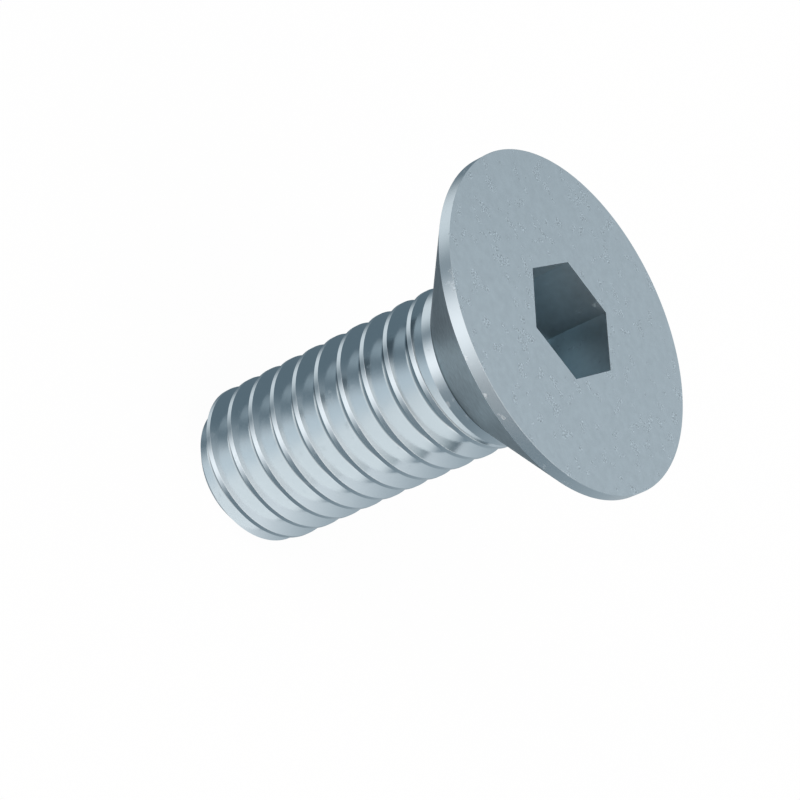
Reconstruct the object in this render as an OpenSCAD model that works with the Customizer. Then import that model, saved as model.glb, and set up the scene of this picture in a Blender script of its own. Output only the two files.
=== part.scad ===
// Countersunk machine screw with a hexagon socket, standing on the flat end of its thread.
// Z runs up the screw's axis from the middle of that end. Sizes are in millimetres.

/* [Head] */
// Diameter of the head over its rim
head_d = 8; // [7:0.1:10]
// Height of the straight rim under the face
rim_h = 0.3; // [0.1:0.05:0.8]
// Angle between opposite sides of the countersunk cone
cone_angle = 90; // [80:1:120]

/* [Socket] */
// Width of the hexagon socket across its flats
socket_af = 2.55; // [1.8:0.05:3.2]
// Depth of the socket's flat walls
socket_depth = 1.8; // [0.8:0.1:2.4]
// Angle of the drilled point at the bottom of the socket
drill_angle = 120; // [100:1:150]
// Turn of the socket's corners about the axis, in degrees from +X
socket_turn = 30; // [0:1:60]

/* [Shank] */
// Length of the whole screw, from the face to the end
length = 10; // [8:0.5:30]
// Diameter of the neck and over the crests of the thread
thread_d = 3.91; // [3.5:0.01:4.5]
// Height of the plain neck between the cone and the thread
neck_h = 0.26; // [0.1:0.01:2]
// Height of the chamfer at the end
tip_chamfer = 0.46; // [0.2:0.01:0.8]

/* [Thread] */
// Rise of the thread in one turn
pitch = 0.7; // [0.5:0.01:0.8]
// Width of the flat on the crest
crest_w = 0.12; // [0.06:0.01:0.2]
// Angle between the two flanks of the groove
flank_angle = 60; // [55:1:70]
// Radius of the round in the bottom of the groove
root_r = 0.1; // [0.04:0.01:0.1]
// Height above the end at which a crest crosses the +X side
thread_start = 0.263; // [0:0.001:0.7]
// Slope of the groove's end at the neck, from level
runout_angle = 25; // [5:1:25]

/* [Hidden] */

// Facets in one turn of the turned shapes, of the thread, and in the round at its root
turned_sides = 96;
turn_steps = 48;
root_steps = 4;

head_r = head_d / 2;
thread_r = thread_d / 2;
tip_r = thread_r - tip_chamfer;
rim_z = length - rim_h;
cone_z = rim_z - (head_r - thread_r) / tan(cone_angle / 2);
thread_top = cone_z - neck_h;

// A regular hexagon's corners lie further out than its flats by this ratio
socket_r = socket_af / 2 / cos(30);
drill_depth = socket_af / 2 / tan(drill_angle / 2);
// The socket's cutter passes the face by this much
overcut = 0.2;

// The groove's flanks would meet at apex_r if its bottom were sharp
flank = flank_angle / 2;
groove_half = (pitch - crest_w) / 2;
apex_r = thread_r - groove_half / tan(flank);
root_centre_r = apex_r + root_r / sin(flank);
// Past the crest the cutter widens along its flanks, and stays narrower than the pitch
clear_r = thread_r + crest_w / 2;
clear_half = (clear_r - apex_r) * tan(flank);

// The groove starts a turn below the end and stops a turn above the neck
first_turn = -2;
last_turn = ceil((thread_top - thread_start) / pitch) + 1;
stations = (last_turn - first_turn) * turn_steps;

// Radius and height of each corner of the groove's section, about its own middle
groove_section = [
    [clear_r, -clear_half],
    for (i = [0:root_steps])
        let (a = (90 - flank) * (2 * i / root_steps - 1))
        [root_centre_r - root_r * cos(a), root_r * sin(a)],
    [clear_r, clear_half]
];
corners = len(groove_section);

// The middle of the groove lies half a pitch above the crest
function groove_point(corner, turn) = [
    groove_section[corner][0] * cos(360 * turn),
    groove_section[corner][0] * sin(360 * turn),
    groove_section[corner][1] + thread_start + pitch * (turn + 0.5)
];

// Right-hand helical groove, as one solid that is cut from the shank
module groove() {
    points = [
        for (s = [0:stations], c = [0:corners - 1])
            groove_point(c, first_turn + s / turn_steps)
    ];
    sides = [
        for (s = [0:stations - 1], c = [0:corners - 1])
            let (a = s * corners + c)
            let (b = s * corners + (c + 1) % corners)
            each [[a, b + corners, b], [a, a + corners, b + corners]]
    ];
    start_cap = [for (c = [0:corners - 1]) c];
    end_cap = [for (c = [corners - 1:-1:0]) stations * corners + c];
    polyhedron(points = points, faces = concat([start_cap], sides, [end_cap]));
}

// Head, neck and shank turned as one piece, before the thread and socket are cut
module blank() {
    rotate_extrude($fn = turned_sides)
        polygon([
            [0, 0],
            [tip_r, 0],
            [thread_r, tip_chamfer],
            [thread_r, cone_z],
            [head_r, rim_z],
            [head_r, length],
            [0, length]
        ]);
}

// Thread groove, which gets shallower and runs out at the foot of the neck
module thread_cut() {
    intersection() {
        groove();
        rotate_extrude($fn = turned_sides)
            polygon([
                [0, first_turn * pitch],
                [head_r, first_turn * pitch],
                [head_r, thread_top + (head_r - thread_r) * tan(runout_angle)],
                [0, thread_top - thread_r * tan(runout_angle)]
            ]);
    }
}

// Hexagon socket with a drilled point at its bottom
module socket_cut() {
    translate([0, 0, length - socket_depth])
        rotate([0, 0, socket_turn])
            cylinder(h = socket_depth + overcut, r = socket_r, $fn = 6);
    rotate_extrude($fn = turned_sides)
        polygon([
            [0, length - socket_depth - drill_depth],
            [socket_af / 2, length - socket_depth],
            [0, length - socket_depth]
        ]);
}

module screw() {
    color("lightsteelblue")
        difference() {
            blank();
            thread_cut();
            socket_cut();
        }
}

screw();
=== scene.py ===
from math import cos, pi, radians, sin, tan

import bpy
from mathutils import Matrix, Vector


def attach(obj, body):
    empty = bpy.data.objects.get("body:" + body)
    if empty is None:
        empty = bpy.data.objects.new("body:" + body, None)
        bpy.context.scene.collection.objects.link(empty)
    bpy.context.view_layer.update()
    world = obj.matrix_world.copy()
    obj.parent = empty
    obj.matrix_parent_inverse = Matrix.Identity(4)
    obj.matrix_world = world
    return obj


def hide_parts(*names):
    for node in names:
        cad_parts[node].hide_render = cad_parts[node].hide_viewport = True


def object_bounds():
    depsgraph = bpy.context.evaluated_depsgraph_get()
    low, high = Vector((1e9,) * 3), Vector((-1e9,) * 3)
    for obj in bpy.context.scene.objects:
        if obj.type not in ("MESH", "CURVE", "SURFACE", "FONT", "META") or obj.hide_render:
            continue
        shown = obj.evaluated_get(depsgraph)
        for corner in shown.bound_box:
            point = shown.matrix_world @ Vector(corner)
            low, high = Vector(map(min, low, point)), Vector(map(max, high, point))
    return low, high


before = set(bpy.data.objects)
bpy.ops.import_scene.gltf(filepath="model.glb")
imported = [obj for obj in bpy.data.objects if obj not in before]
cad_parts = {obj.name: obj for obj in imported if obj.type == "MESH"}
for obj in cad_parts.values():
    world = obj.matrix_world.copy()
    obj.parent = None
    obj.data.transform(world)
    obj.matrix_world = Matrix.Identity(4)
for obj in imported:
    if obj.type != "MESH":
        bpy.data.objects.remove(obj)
cad_low, cad_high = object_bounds()
bpy.context.scene.view_settings.view_transform = "Standard"

# Camera
# It looks down on the standing screw from a little over a third of a right angle, and aims at
# the middle of its height. It is rolled, because the photograph lays the screw on its side.
camera_distance = 0.051265
camera_azimuth = radians(-83.26)
camera_elevation = radians(35.28)
camera_roll = radians(65.0)
lens_mm = 101.24
sensor_mm = 36
nearest_seen = 0.001
camera_aim = Vector((0, 0, (cad_low.z + cad_high.z) / 2))
camera_back = Vector((
    cos(camera_azimuth) * cos(camera_elevation),
    sin(camera_azimuth) * cos(camera_elevation),
    sin(camera_elevation),
))
level_view = (-camera_back).to_track_quat("-Z", "Y").to_matrix()

camera_data = bpy.data.cameras.new("camera")
camera_data.lens = lens_mm
camera_data.sensor_width = sensor_mm
camera_data.clip_start = nearest_seen
camera = bpy.data.objects.new("camera", camera_data)
bpy.context.scene.collection.objects.link(camera)
camera.location = camera_aim + camera_back * camera_distance
camera.rotation_euler = (level_view @ Matrix.Rotation(camera_roll, 3, "Z")).to_euler()
bpy.context.scene.camera = camera

# Blank
# Head, neck and shank are one piece of steel, headed and turned, with a 90 degree cone under the
# head's rim. It grows here ring by ring from the flat end of the thread up to the face, and the
# two edges of the rim are broken.
turned_sides = 256
face_z = cad_high.z
head_r = min(cad_high.x, cad_high.y, -cad_low.x, -cad_low.y)
rim_h = 0.0003
rim_edge_r = 0.000003
rim_edge_steps = 4
thread_r = 0.001955
tip_chamfer = 0.00046
cone_z = face_z - rim_h - (head_r - thread_r)
near = 0.000001
turned_rings = [
    (thread_r, tip_chamfer),
    (thread_r, cone_z),
    (head_r, face_z - rim_h),
    (head_r, face_z),
]

bpy.ops.object.select_all(action="DESELECT")
ring_r = thread_r - tip_chamfer
ring_z = 0
bpy.ops.mesh.primitive_circle_add(
    vertices=turned_sides, radius=ring_r, fill_type="NGON", location=(0, 0, ring_z)
)
screw = bpy.context.object
screw.name = "socket_screw"
bpy.ops.object.mode_set(mode="EDIT")
bpy.ops.mesh.select_all(action="SELECT")
for next_r, next_z in turned_rings:
    bpy.ops.mesh.extrude_region_move(TRANSFORM_OT_translate={"value": (0, 0, next_z - ring_z)})
    bpy.ops.transform.resize(
        value=(next_r / ring_r, next_r / ring_r, 1), center_override=(0, 0, next_z)
    )
    ring_r = next_r
    ring_z = next_z
bpy.ops.mesh.select_all(action="SELECT")
bpy.ops.mesh.normals_make_consistent(inside=False)
bpy.ops.object.mode_set(mode="OBJECT")


def select_edges(piece, wanted):
    """Selects the edges of a piece whose two ends are both wanted, by their place."""
    bpy.ops.object.mode_set(mode="EDIT")
    bpy.ops.mesh.select_mode(type="EDGE")
    bpy.ops.mesh.select_all(action="DESELECT")
    bpy.ops.object.mode_set(mode="OBJECT")
    corners = piece.data.vertices
    for edge in piece.data.edges:
        edge.select = all(wanted(corners[corner].co) for corner in edge.vertices)
    bpy.ops.object.mode_set(mode="EDIT")


for rim_z in (face_z, face_z - rim_h):
    select_edges(screw, lambda at: abs(at.z - rim_z) < near and at.xy.length > head_r - near)
    bpy.ops.mesh.bevel(offset=rim_edge_r, segments=rim_edge_steps, affect="EDGES")
    bpy.ops.object.mode_set(mode="OBJECT")

# Thread
# A coarse right-hand thread is rolled into the shank. Its groove has 60 degree flanks, a round
# root and slightly rounded crests. It starts on the tip's chamfer and runs out at the neck, where
# the groove gets shallower on a sloped end.
pitch = 0.0007
crest_w = 0.00012
half_flank = radians(30)
root_r = 0.0001
root_sides = 24
crest_edge_r = 0.000006
crest_edge_turn = radians(48)
crest_edge_steps = 3
crest_overrun = 0.00004
thread_start = 0.000263
neck_h = 0.00026
runout_slope = tan(half_flank)
runout_cone_r = 0.005
groove_turns = 14
groove_turns_below = 3
groove_steps = 128
groove_half = (pitch - crest_w) / 2
groove_z = thread_start + pitch / 2 - groove_turns_below * pitch
root_centre_r = thread_r - groove_half / tan(half_flank) + root_r / sin(half_flank)
root_end_r = root_centre_r - root_r * sin(half_flank)
flank_len = (thread_r - root_end_r) / cos(half_flank) - crest_edge_r * tan(half_flank)

bpy.ops.object.select_all(action="DESELECT")
bpy.ops.mesh.primitive_circle_add(
    vertices=root_sides,
    radius=root_r,
    location=(root_centre_r, 0, groove_z),
    rotation=(pi / 2, 0, 0),
)
groove = bpy.context.object
bpy.ops.object.transform_apply(location=True, rotation=True, scale=True)
bpy.ops.object.mode_set(mode="EDIT")
bpy.ops.mesh.select_mode(type="VERT")
bpy.ops.mesh.select_all(action="DESELECT")
bpy.ops.object.mode_set(mode="OBJECT")
for corner in groove.data.vertices:
    corner.select = corner.co.x > root_end_r + near
bpy.ops.object.mode_set(mode="EDIT")
bpy.ops.mesh.delete(type="VERT")
for side in (1, -1):
    bpy.ops.mesh.select_all(action="DESELECT")
    bpy.ops.object.mode_set(mode="OBJECT")
    outermost = max(groove.data.vertices, key=lambda corner: side * corner.co.z)
    outermost.select = True
    flank_end = outermost.co + Vector((cos(half_flank), 0, side * sin(half_flank))) * flank_len
    crest_centre = flank_end + Vector((-sin(half_flank), 0, side * cos(half_flank))) * crest_edge_r
    bpy.ops.object.mode_set(mode="EDIT")
    bpy.ops.mesh.extrude_region_move(TRANSFORM_OT_translate={"value": flank_end - outermost.co})
    bpy.ops.mesh.spin(
        steps=crest_edge_steps,
        angle=side * crest_edge_turn,
        center=crest_centre,
        axis=(0, 1, 0),
    )
    run_out = half_flank + crest_edge_turn
    bpy.ops.mesh.extrude_region_move(TRANSFORM_OT_translate={
        "value": (crest_overrun * cos(run_out), 0, side * crest_overrun * sin(run_out))
    })
bpy.ops.mesh.select_all(action="DESELECT")
bpy.ops.object.mode_set(mode="OBJECT")
for side in (1, -1):
    max(groove.data.vertices, key=lambda corner: side * corner.co.z).select = True
bpy.ops.object.mode_set(mode="EDIT")
bpy.ops.mesh.edge_face_add()
bpy.ops.object.mode_set(mode="OBJECT")
helix = groove.modifiers.new("helix", "SCREW")
helix.axis = "Z"
helix.screw_offset = pitch
helix.iterations = groove_turns
helix.steps = groove_steps
helix.render_steps = groove_steps
bpy.ops.object.modifier_apply(modifier="helix")
bpy.ops.object.mode_set(mode="EDIT")
bpy.ops.mesh.select_all(action="SELECT")
bpy.ops.mesh.fill_holes(sides=0)
bpy.ops.mesh.select_all(action="SELECT")
bpy.ops.mesh.normals_make_consistent(inside=False)
bpy.ops.object.mode_set(mode="OBJECT")


def cut(piece, tool):
    """Cuts a piece with a closed tool, and takes the tool away."""
    bpy.ops.object.select_all(action="DESELECT")
    piece.select_set(True)
    bpy.context.view_layer.objects.active = piece
    shape = piece.modifiers.new("cut", "BOOLEAN")
    shape.object = tool
    shape.operation = "DIFFERENCE"
    shape.solver = "MANIFOLD"
    bpy.ops.object.modifier_apply(modifier="cut")
    bpy.data.objects.remove(tool)


# What lies inside a cone on its point is taken off the groove's tool, so the groove runs out there
runout_point_z = cone_z - neck_h - thread_r * runout_slope
runout_h = runout_cone_r * runout_slope
bpy.ops.object.select_all(action="DESELECT")
bpy.ops.mesh.primitive_cone_add(
    vertices=turned_sides,
    radius1=0,
    radius2=runout_cone_r,
    depth=runout_h,
    location=(0, 0, runout_point_z + runout_h / 2),
)
cut(groove, bpy.context.object)
cut(screw, groove)

# Socket
# The hexagon for the key is punched into the face over a drilled hole, which is a hair narrower
# than the hexagon's flats. The drill's point is left at the bottom, and the edges are sharp.
socket_af = 0.00255
socket_depth = 0.0018
socket_corner_r = socket_af / 2 / cos(pi / 6)
overcut = 0.0002
drill_gap = 0.00001
drill_angle = radians(120)
drill_sides = 64
drill_r = socket_af / 2 - drill_gap
drill_point = drill_r / tan(drill_angle / 2)

bpy.ops.object.select_all(action="DESELECT")
bpy.ops.mesh.primitive_cylinder_add(
    vertices=6,
    radius=socket_corner_r,
    depth=socket_depth + overcut,
    location=(0, 0, face_z + (overcut - socket_depth) / 2),
)
cut(screw, bpy.context.object)
bpy.ops.object.select_all(action="DESELECT")
bpy.ops.mesh.primitive_cone_add(
    vertices=drill_sides,
    radius1=0,
    radius2=drill_r,
    depth=drill_point,
    location=(0, 0, face_z - socket_depth - drill_point / 2),
)
drill = bpy.context.object
bpy.ops.object.transform_apply(location=True, rotation=True, scale=True)
bpy.ops.object.mode_set(mode="EDIT")
bpy.ops.mesh.select_mode(type="FACE")
bpy.ops.mesh.select_all(action="DESELECT")
bpy.ops.object.mode_set(mode="OBJECT")
max(drill.data.polygons, key=lambda face: face.center.z).select = True
bpy.ops.object.mode_set(mode="EDIT")
bpy.ops.mesh.extrude_region_move(TRANSFORM_OT_translate={"value": (0, 0, overcut)})
bpy.ops.object.mode_set(mode="OBJECT")
cut(screw, drill)

# Smooth sides and sharp edges
# The steel's turned and rolled sides are smooth up to their edges, and its flat faces are flat up
# to theirs. Faces as small as these are weighted by their size only while the screw is enlarged,
# so it is enlarged for that and then brought back to its size.
weld_gap = 0.0000002
smooth_angle = radians(30)
enlarged = 10000

bpy.ops.object.select_all(action="DESELECT")
screw.select_set(True)
bpy.context.view_layer.objects.active = screw
bpy.ops.object.mode_set(mode="EDIT")
bpy.ops.mesh.select_all(action="SELECT")
bpy.ops.mesh.remove_doubles(threshold=weld_gap)
bpy.ops.object.mode_set(mode="OBJECT")
bpy.ops.object.shade_smooth_by_angle(angle=smooth_angle)
screw.scale = (enlarged, enlarged, enlarged)
bpy.ops.object.transform_apply(location=True, rotation=True, scale=True)
flat_faces = screw.modifiers.new("flat_faces", "WEIGHTED_NORMAL")
flat_faces.keep_sharp = True
bpy.ops.object.modifier_apply(modifier="flat_faces")
screw.scale = (1 / enlarged, 1 / enlarged, 1 / enlarged)
bpy.ops.object.transform_apply(location=True, rotation=True, scale=True)

# Zinc plating
# Bright zinc is plated over the whole screw in a bath, with sparse clusters of coarser grains. It
# is smooth on the rolled thread, with painted shade in its roots, has the fine rings of turning on
# the darker cone with painted shade in its corner with the neck, and is bluer and rougher in the
# socket, with painted light on one side of its walls and painted shade on the other.
noise_middle = 0.5
spot_size = 0.0003
spot_detail = 2
spot_edge = 0.06
grain_size = 0.00004
grain_detail = 2
cloud_size = 0.00016
cloud_detail = 4
cluster_roughness = 0.1
white = (1, 1, 1, 1)


def add_node(tree, kind, feeds, **settings):
    """Adds a node, sets its options, and gives each input a value or another node's output."""
    node = tree.nodes.new("ShaderNode" + kind)
    for option, value in settings.items():
        setattr(node, option, value)
    for entry, feed in feeds.items():
        if isinstance(feed, bpy.types.NodeSocket):
            tree.links.new(feed, node.inputs[entry])
        else:
            node.inputs[entry].default_value = feed
    return node


def level_noise(tree, place, size, detail):
    """Adds noise of a size in metres, and returns it as a value that swings about zero."""
    noise = add_node(tree, "TexNoise", {"Vector": place, "Scale": 1 / size, "Detail": detail})
    level = add_node(
        tree, "Math", {0: noise.outputs["Fac"], 1: noise_middle}, operation="SUBTRACT"
    )
    return level.outputs["Value"]


grain = bpy.data.node_groups.new("zinc_grain", "ShaderNodeTree")
grain.interface.new_socket("Cover", in_out="INPUT", socket_type="NodeSocketFloat")
grain_cover = grain.nodes.new("NodeGroupInput").outputs["Cover"]
grain_place = add_node(grain, "TexCoord", {}).outputs["Object"]
spots = level_noise(grain, grain_place, spot_size, spot_detail)
spots_end = add_node(grain, "Math", {0: grain_cover, 1: spot_edge}, operation="ADD")
cluster = add_node(
    grain,
    "MapRange",
    {"Value": spots, "From Min": grain_cover, "From Max": spots_end.outputs["Value"]},
    interpolation_type="SMOOTHSTEP",
)
grains = level_noise(grain, grain_place, grain_size, grain_detail)
grains_in_cluster = add_node(
    grain, "Math", {0: grains, 1: cluster.outputs["Result"]}, operation="MULTIPLY"
)
grain_outputs = {
    "Grain": grains_in_cluster.outputs["Value"],
    "Cluster": cluster.outputs["Result"],
    "Mottle": level_noise(grain, grain_place, cloud_size, cloud_detail),
}
grain_end = grain.nodes.new("NodeGroupOutput")
for name, source in grain_outputs.items():
    grain.interface.new_socket(name, in_out="OUTPUT", socket_type="NodeSocketFloat")
    grain.links.new(source, grain_end.inputs[name])


def zinc(name, colour, roughness, clouds, cover, contrast, relief):
    """Makes the zinc of one zone, with faint clouds and with grains of a contrast and relief."""
    material = bpy.data.materials.new(name)
    material.use_nodes = True
    tree = material.node_tree
    surface = tree.nodes["Principled BSDF"]
    surface.inputs["Metallic"].default_value = 1
    texture = tree.nodes.new("ShaderNodeGroup")
    texture.node_tree = grain
    texture.inputs["Cover"].default_value = cover
    clouded = add_node(
        tree, "Math", {0: texture.outputs["Mottle"], 1: clouds, 2: 1}, operation="MULTIPLY_ADD"
    )
    speckled = add_node(
        tree,
        "Math",
        {0: texture.outputs["Grain"], 1: contrast, 2: clouded.outputs["Value"]},
        operation="MULTIPLY_ADD",
    )
    tint = add_node(
        tree, "VectorMath", {0: colour, "Scale": speckled.outputs["Value"]}, operation="SCALE"
    )
    gloss = add_node(tree, "MapRange", {
        "Value": texture.outputs["Cluster"],
        "To Min": roughness,
        "To Max": roughness + cluster_roughness,
    })
    raised = add_node(tree, "Bump", {"Height": texture.outputs["Grain"], "Distance": relief})
    tree.links.new(tint.outputs["Vector"], surface.inputs["Base Color"])
    tree.links.new(gloss.outputs["Result"], surface.inputs["Roughness"])
    tree.links.new(raised.outputs["Normal"], surface.inputs["Normal"])
    return material


def shade_zone(material, shade):
    """Multiplies the colour of a zone's zinc by a shade, which is a value or a colour."""
    tree = material.node_tree
    colour = tree.nodes["Principled BSDF"].inputs["Base Color"]
    shaded = add_node(
        tree, "VectorMath", {0: colour.links[0].from_socket, 1: shade}, operation="MULTIPLY"
    )
    tree.links.new(shaded.outputs["Vector"], colour)


def from_axis(tree, place):
    """Returns a place on the screw without its height, which leaves its reach from the axis."""
    level = add_node(tree, "VectorMath", {0: place, 1: (1, 1, 0)}, operation="MULTIPLY")
    return level.outputs["Vector"]


zinc_colour = (0.52, 0.59, 0.63)
cone_colour = (0.52, 0.57, 0.6)
socket_colour = (0.44, 0.54, 0.59)
zones = {
    "zinc_face": zinc(
        "zinc_face", zinc_colour,
        roughness=0.2, clouds=0.2, cover=0.08, contrast=2.0, relief=0.000003
    ),
    "zinc_rim": zinc(
        "zinc_rim", zinc_colour,
        roughness=0.2, clouds=0.05, cover=0.12, contrast=1.0, relief=0.0000015
    ),
    "zinc_thread": zinc(
        "zinc_thread", zinc_colour,
        roughness=0.15, clouds=0.04, cover=0.16, contrast=0.3, relief=0.0000005
    ),
    "zinc_cone": zinc(
        "zinc_cone", cone_colour,
        roughness=0.33, clouds=0.1, cover=0.3, contrast=0.5, relief=0.0000006
    ),
    "zinc_socket": zinc(
        "zinc_socket", socket_colour,
        roughness=0.36, clouds=0.25, cover=0.15, contrast=1.5, relief=0.000002
    ),
}

# Painted shade darkens the thread at the bottom of its root, where its crease is shaded, and the
# thread keeps its plain colour from 0.04 mm above it
root_bottom_r = root_centre_r - root_r
dark_low = 0.000012
dark_high = 0.00004
root_painted_shade_colour = (0.13, 0.18, 0.21)
thread_tree = zones["zinc_thread"].node_tree
thread_place = add_node(thread_tree, "TexCoord", {}).outputs["Object"]
thread_reach = add_node(
    thread_tree, "VectorMath", {0: from_axis(thread_tree, thread_place)}, operation="LENGTH"
)
above_root = add_node(thread_tree, "MapRange", {
    "Value": thread_reach.outputs["Value"],
    "From Min": root_bottom_r + dark_low,
    "From Max": root_bottom_r + dark_high,
}, interpolation_type="SMOOTHSTEP")
# The painted shade in the root is a dark blue-grey that fades into white, which leaves the colour
# as it is
painted_shade_in_root = add_node(
    thread_tree,
    "Mix",
    {"Factor": above_root.outputs["Result"], "A": (*root_painted_shade_colour, 1), "B": white},
    data_type="RGBA",
)
shade_zone(zones["zinc_thread"], painted_shade_in_root.outputs["Result"])

# The cone's rings are noise that is squeezed along the height. It mirrors less at a low angle, and
# painted shade darkens it in its corner with the neck, where the crease is shaded
grazing_tint = (0.25, 0.32, 0.35, 1)
ring_rate = 2400
ring_scale = 20
ring_detail = 3
ring_noise_low = 0.3
ring_noise_high = 0.7
ring_dark = 0.75
ring_light = 1.25
corner_h = 0.0002
corner_dark = 0.35
cone_tree = zones["zinc_cone"].node_tree
cone_tree.nodes["Principled BSDF"].inputs["Specular Tint"].default_value = grazing_tint
cone_place = add_node(cone_tree, "TexCoord", {}).outputs["Object"]
around = add_node(
    cone_tree, "VectorMath", {0: from_axis(cone_tree, cone_place)}, operation="NORMALIZE"
)
along = add_node(
    cone_tree,
    "VectorMath",
    {0: cone_place, 1: (0, 0, ring_rate), 2: around.outputs["Vector"]},
    operation="MULTIPLY_ADD",
)
rings = add_node(cone_tree, "TexNoise", {
    "Vector": along.outputs["Vector"], "Scale": ring_scale, "Detail": ring_detail
})
ring_tone = add_node(cone_tree, "MapRange", {
    "Value": rings.outputs["Fac"],
    "From Min": ring_noise_low,
    "From Max": ring_noise_high,
    "To Min": ring_dark,
    "To Max": ring_light,
})
height = add_node(cone_tree, "SeparateXYZ", {0: cone_place})
# Painted shade in the cone's corner with the neck, fading out over corner_h above it
painted_corner_shade = add_node(cone_tree, "MapRange", {
    "Value": height.outputs["Z"],
    "From Min": cone_z,
    "From Max": cone_z + corner_h,
    "To Min": corner_dark,
    "To Max": 1,
}, interpolation_type="SMOOTHSTEP")
shade_zone(zones["zinc_cone"], ring_tone.outputs["Result"])
shade_zone(zones["zinc_cone"], painted_corner_shade.outputs["Result"])

# Painted light makes the walls of the socket lighter on one side of its middle, and painted shade
# makes them darker on the other
wall_blend = 0.000255
light_wall = 1.12
dark_wall = 0.7
socket_tree = zones["zinc_socket"].node_tree
socket_place = add_node(socket_tree, "TexCoord", {}).outputs["Object"]
across = add_node(socket_tree, "SeparateXYZ", {0: socket_place})
# Painted light and shade across the socket, along its x axis
walls_painted_light_and_shade = add_node(socket_tree, "MapRange", {
    "Value": across.outputs["X"],
    "From Min": -wall_blend,
    "From Max": wall_blend,
    "To Min": light_wall,
    "To Max": dark_wall,
})
shade_zone(zones["zinc_socket"], walls_painted_light_and_shade.outputs["Result"])

# Each face gets the zinc of its zone, and the empty slot that the cuts leave is cleared first
chamfer_slack = 0.000005
screw.data.materials.clear()
for material in zones.values():
    screw.data.materials.append(material)
for face in screw.data.polygons:
    middle = face.center
    reach = middle.xy.length
    in_socket = reach < socket_corner_r and middle.z > face_z - socket_depth - drill_point - near
    on_chamfer = abs(reach - thread_r + tip_chamfer - middle.z) < chamfer_slack
    if in_socket and middle.z < face_z - near:
        zone = "zinc_socket"
    elif middle.z > face_z - near or middle.z < near or on_chamfer:
        zone = "zinc_face"
    elif middle.z > face_z - rim_h:
        zone = "zinc_rim"
    elif middle.z > cone_z:
        zone = "zinc_cone"
    else:
        zone = "zinc_thread"
    face.material_index = list(zones).index(zone)
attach(screw, "root")
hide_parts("screw")

# Floor
# A plain white table. The camera sees it nearly as bright as the background, so that only the
# screw's faint shadow shows on it, and the metal doesn't mirror it.
floor_size = 1
floor_glow_share = 0.96
floor_colour = (0.85, 0.85, 0.85, 1)

bpy.ops.object.select_all(action="DESELECT")
bpy.ops.mesh.primitive_plane_add(size=floor_size, location=(0, 0, 0))
floor = bpy.context.object
floor.name = "floor"
floor.visible_glossy = False
floor_paint = bpy.data.materials.new("floor_paint")
floor_paint.use_nodes = True
floor_tree = floor_paint.node_tree
floor_tree.nodes.remove(floor_tree.nodes["Principled BSDF"])
floor_seen = add_node(floor_tree, "LightPath", {})
floor_share = add_node(
    floor_tree,
    "Math",
    {0: floor_seen.outputs["Is Camera Ray"], 1: floor_glow_share},
    operation="MULTIPLY",
)
floor_lit = add_node(floor_tree, "BsdfDiffuse", {"Color": floor_colour})
floor_white = add_node(floor_tree, "Emission", {})
floor_mix = add_node(floor_tree, "MixShader", {
    "Fac": floor_share.outputs["Value"],
    1: floor_lit.outputs["BSDF"],
    2: floor_white.outputs["Emission"],
})
floor_tree.links.new(
    floor_mix.outputs["Shader"], floor_tree.nodes["Material Output"].inputs["Surface"]
)
floor.data.materials.append(floor_paint)

# Studio light
# The screw stands in a grey-blue room under soft light. Each soft light or dark screen is a
# blurred ellipse at its own azimuth and elevation, with its half width, half height, blur and
# tone. Only the camera sees a white background instead.
room_tone = (0.52, 0.58, 0.62)
screen_depth = 1.9
screens = [
    ("dark_table", 142, -86, 1.03, 1.4, 0.4, (0.26, 0.32, 0.36)),
    ("dark_wall", 155, -22, 0.92, 1.4, 0.27, (0.18, 0.24, 0.28)),
    ("ceiling", -27, 66, 1.27, 0.8, 0.87, (1.06, 1.07, 1.09)),
    ("front_window", -69, 22, 1.19, 0.83, 0.12, (2.3, 2.05, 1.93)),
    ("skylight", 179, 88, 1.36, 0.58, 1.0, (1.04, 1.05, 1.07)),
    ("left_lamp", -109, -57, 0.58, 1.4, 0.85, (1.59, 1.55, 1.55)),
    ("back_lamp", 175, -25, 0.66, 0.67, 0.78, (1.04, 1.07, 1.09)),
    ("high_lamp", -30, 51, 0.63, 0.33, 0.58, (1.53, 1.47, 1.45)),
]

studio = bpy.data.worlds.new("studio")
studio.use_nodes = True
bpy.context.scene.world = studio
studio_tree = studio.node_tree
looking = add_node(studio_tree, "TexCoord", {}).outputs["Generated"]
seen = (*room_tone, 1)
for name, azimuth, elevation, half_width, half_height, blur, tone in screens:
    turn = radians(azimuth)
    tilt = radians(elevation)
    aim = add_node(studio_tree, "Mapping", {
        "Vector": looking,
        "Location": (cos(turn) * cos(tilt), sin(turn) * cos(tilt), sin(tilt)),
        "Rotation": (0, -tilt, turn),
        "Scale": (screen_depth, half_width, half_height),
    }, vector_type="TEXTURE", name=name)
    ellipse = add_node(
        studio_tree, "TexGradient", {"Vector": aim.outputs["Vector"]}, gradient_type="SPHERICAL"
    )
    edge = add_node(
        studio_tree,
        "MapRange",
        {"Value": ellipse.outputs["Fac"], "From Max": blur},
        interpolation_type="SMOOTHSTEP",
    )
    hung = add_node(
        studio_tree,
        "Mix",
        {"Factor": edge.outputs["Result"], "A": seen, "B": (*tone, 1)},
        data_type="RGBA",
    )
    seen = hung.outputs["Result"]
behind = add_node(studio_tree, "LightPath", {})
backdrop = add_node(
    studio_tree,
    "Mix",
    {"Factor": behind.outputs["Is Camera Ray"], "A": seen, "B": white},
    data_type="RGBA",
)
studio_tree.links.new(
    backdrop.outputs["Result"], studio_tree.nodes["Background"].inputs["Color"]
)
